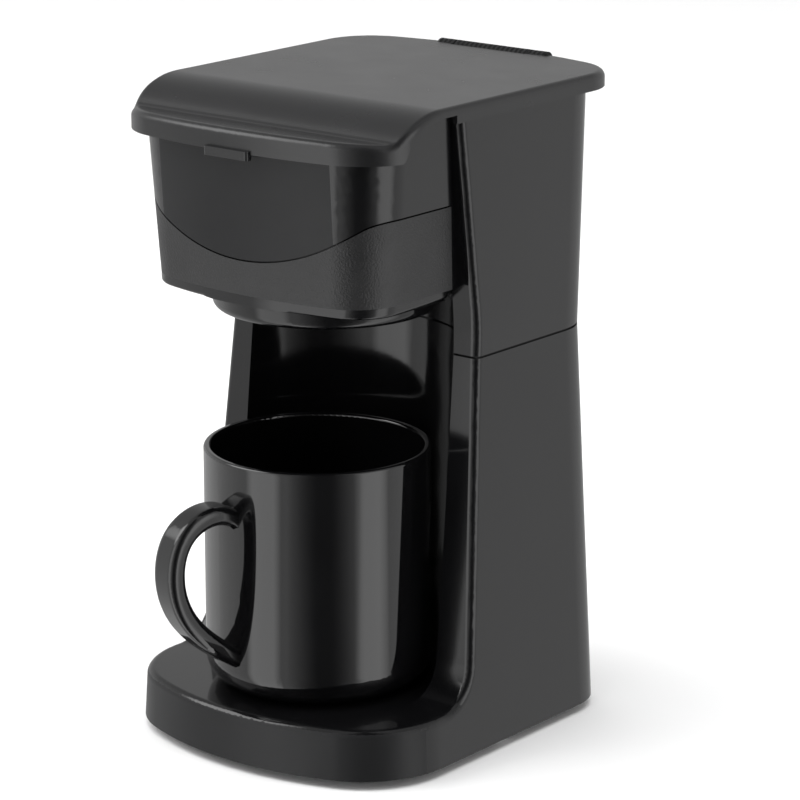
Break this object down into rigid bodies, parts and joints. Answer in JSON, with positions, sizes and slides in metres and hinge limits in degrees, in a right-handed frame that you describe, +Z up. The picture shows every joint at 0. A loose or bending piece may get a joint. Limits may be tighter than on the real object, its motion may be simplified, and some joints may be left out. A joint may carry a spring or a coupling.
{
  "type": "drip coffee maker",
  "caption": "Single-serve drip coffee maker: hinged lid over tank and filter basket, round brewing head and a recessed column with a black mug under it.",
  "frame": {"origin": "middle of the whole outline on the surface that the feet stand on", "axes": "+Z up, -Y to the front where the mug goes in, +X to the right seen from the front"},
  "size_m": [0.1312, 0.1781, 0.243],
  "materials": {
    "gloss_black": "glossy moulded black",
    "satin_black": "satin moulded black",
    "textured_black": "fine texture",
    "black_glaze": "glossy glaze",
    "natural_plastic": "unpainted natural",
    "mesh_steel": "fine woven",
    "steel": "zinc plated",
    "cast_aluminium": "as extruded",
    "brass": "plain",
    "rubber_black": "matt",
    "silicone": "translucent milky",
    "ceramic_white": "unglazed",
    "red_insulation": "smooth",
    "blue_insulation": "smooth"
  },
  "bodies": {
    "housing": {"lower_body": "gloss_black", "upper_body": "gloss_black", "front_housing": "gloss_black", "head_band": "textured_black", "brew_chamber": "gloss_black", "chamber_screws": "steel", "hinge_pin": "steel", "base_plate": "satin_black", "base_screws": "steel", "body_screws": "steel", "front_feet": "rubber_black", "rear_feet": "rubber_black", "cord_gland": "rubber_black", "switch_housing": "satin_black", "switch_terminals": "brass", "boiler_casting": "cast_aluminium", "heating_element": "steel", "boiler_bracket": "steel", "bracket_screws": "steel", "thermostat": "ceramic_white", "thermostat_clip": "steel", "fuse_sleeve": "silicone", "thermal_fuse": "steel", "check_valve_body": "natural_plastic", "inlet_hose": "silicone", "outlet_hose": "silicone", "hose_clamps": "steel", "riser_tube": "natural_plastic", "riser_grommet": "silicone", "terminal_block": "ceramic_white", "live_wire": "red_insulation", "switched_wire": "red_insulation", "heater_wire": "red_insulation", "neutral_wire": "blue_insulation", "fuse_wire": "blue_insulation"},
    "lid": {"lid_shell": "satin_black", "shower_tray": "satin_black", "tray_screws": "steel", "spout_seal": "silicone"},
    "basket": {"filter_basket": "satin_black"},
    "filter": {"filter_frame": "satin_black", "filter_mesh": "mesh_steel"},
    "mug": {"mug": "black_glaze"},
    "rocker": {"switch_rocker": "gloss_black"},
    "valve_ball": {"valve_ball": "natural_plastic"}
  },
  "joints": [
    {"name": "lid_hinge", "type": "hinge", "parent": "housing", "child": "lid", "pos_m": [0, 0.08515, 0.2394], "axis": [-1, 0, 0], "range_deg": [0, 95]},
    {"name": "basket_lift", "type": "slide", "parent": "housing", "child": "basket", "axis": [0, 0, 1], "range_m": [0, 0.003]},
    {"name": "filter_lift", "type": "slide", "parent": "basket", "child": "filter", "axis": [0, 0, 1], "range_m": [0, 0.003]},
    {"name": "mug_slide", "type": "slide", "parent": "housing", "child": "mug", "axis": [0, -1, 0], "range_m": [0, 0.16]},
    {"name": "switch_rock", "type": "hinge", "parent": "housing", "child": "rocker", "pos_m": [-0.05948, 0.03315, 0.062], "axis": [0, 0, 1], "range_deg": [0, 20]},
    {"name": "valve_ball_lift", "type": "slide", "parent": "housing", "child": "valve_ball", "axis": [0, 0, 1], "range_m": [0, 0.0015]}
  ]
}
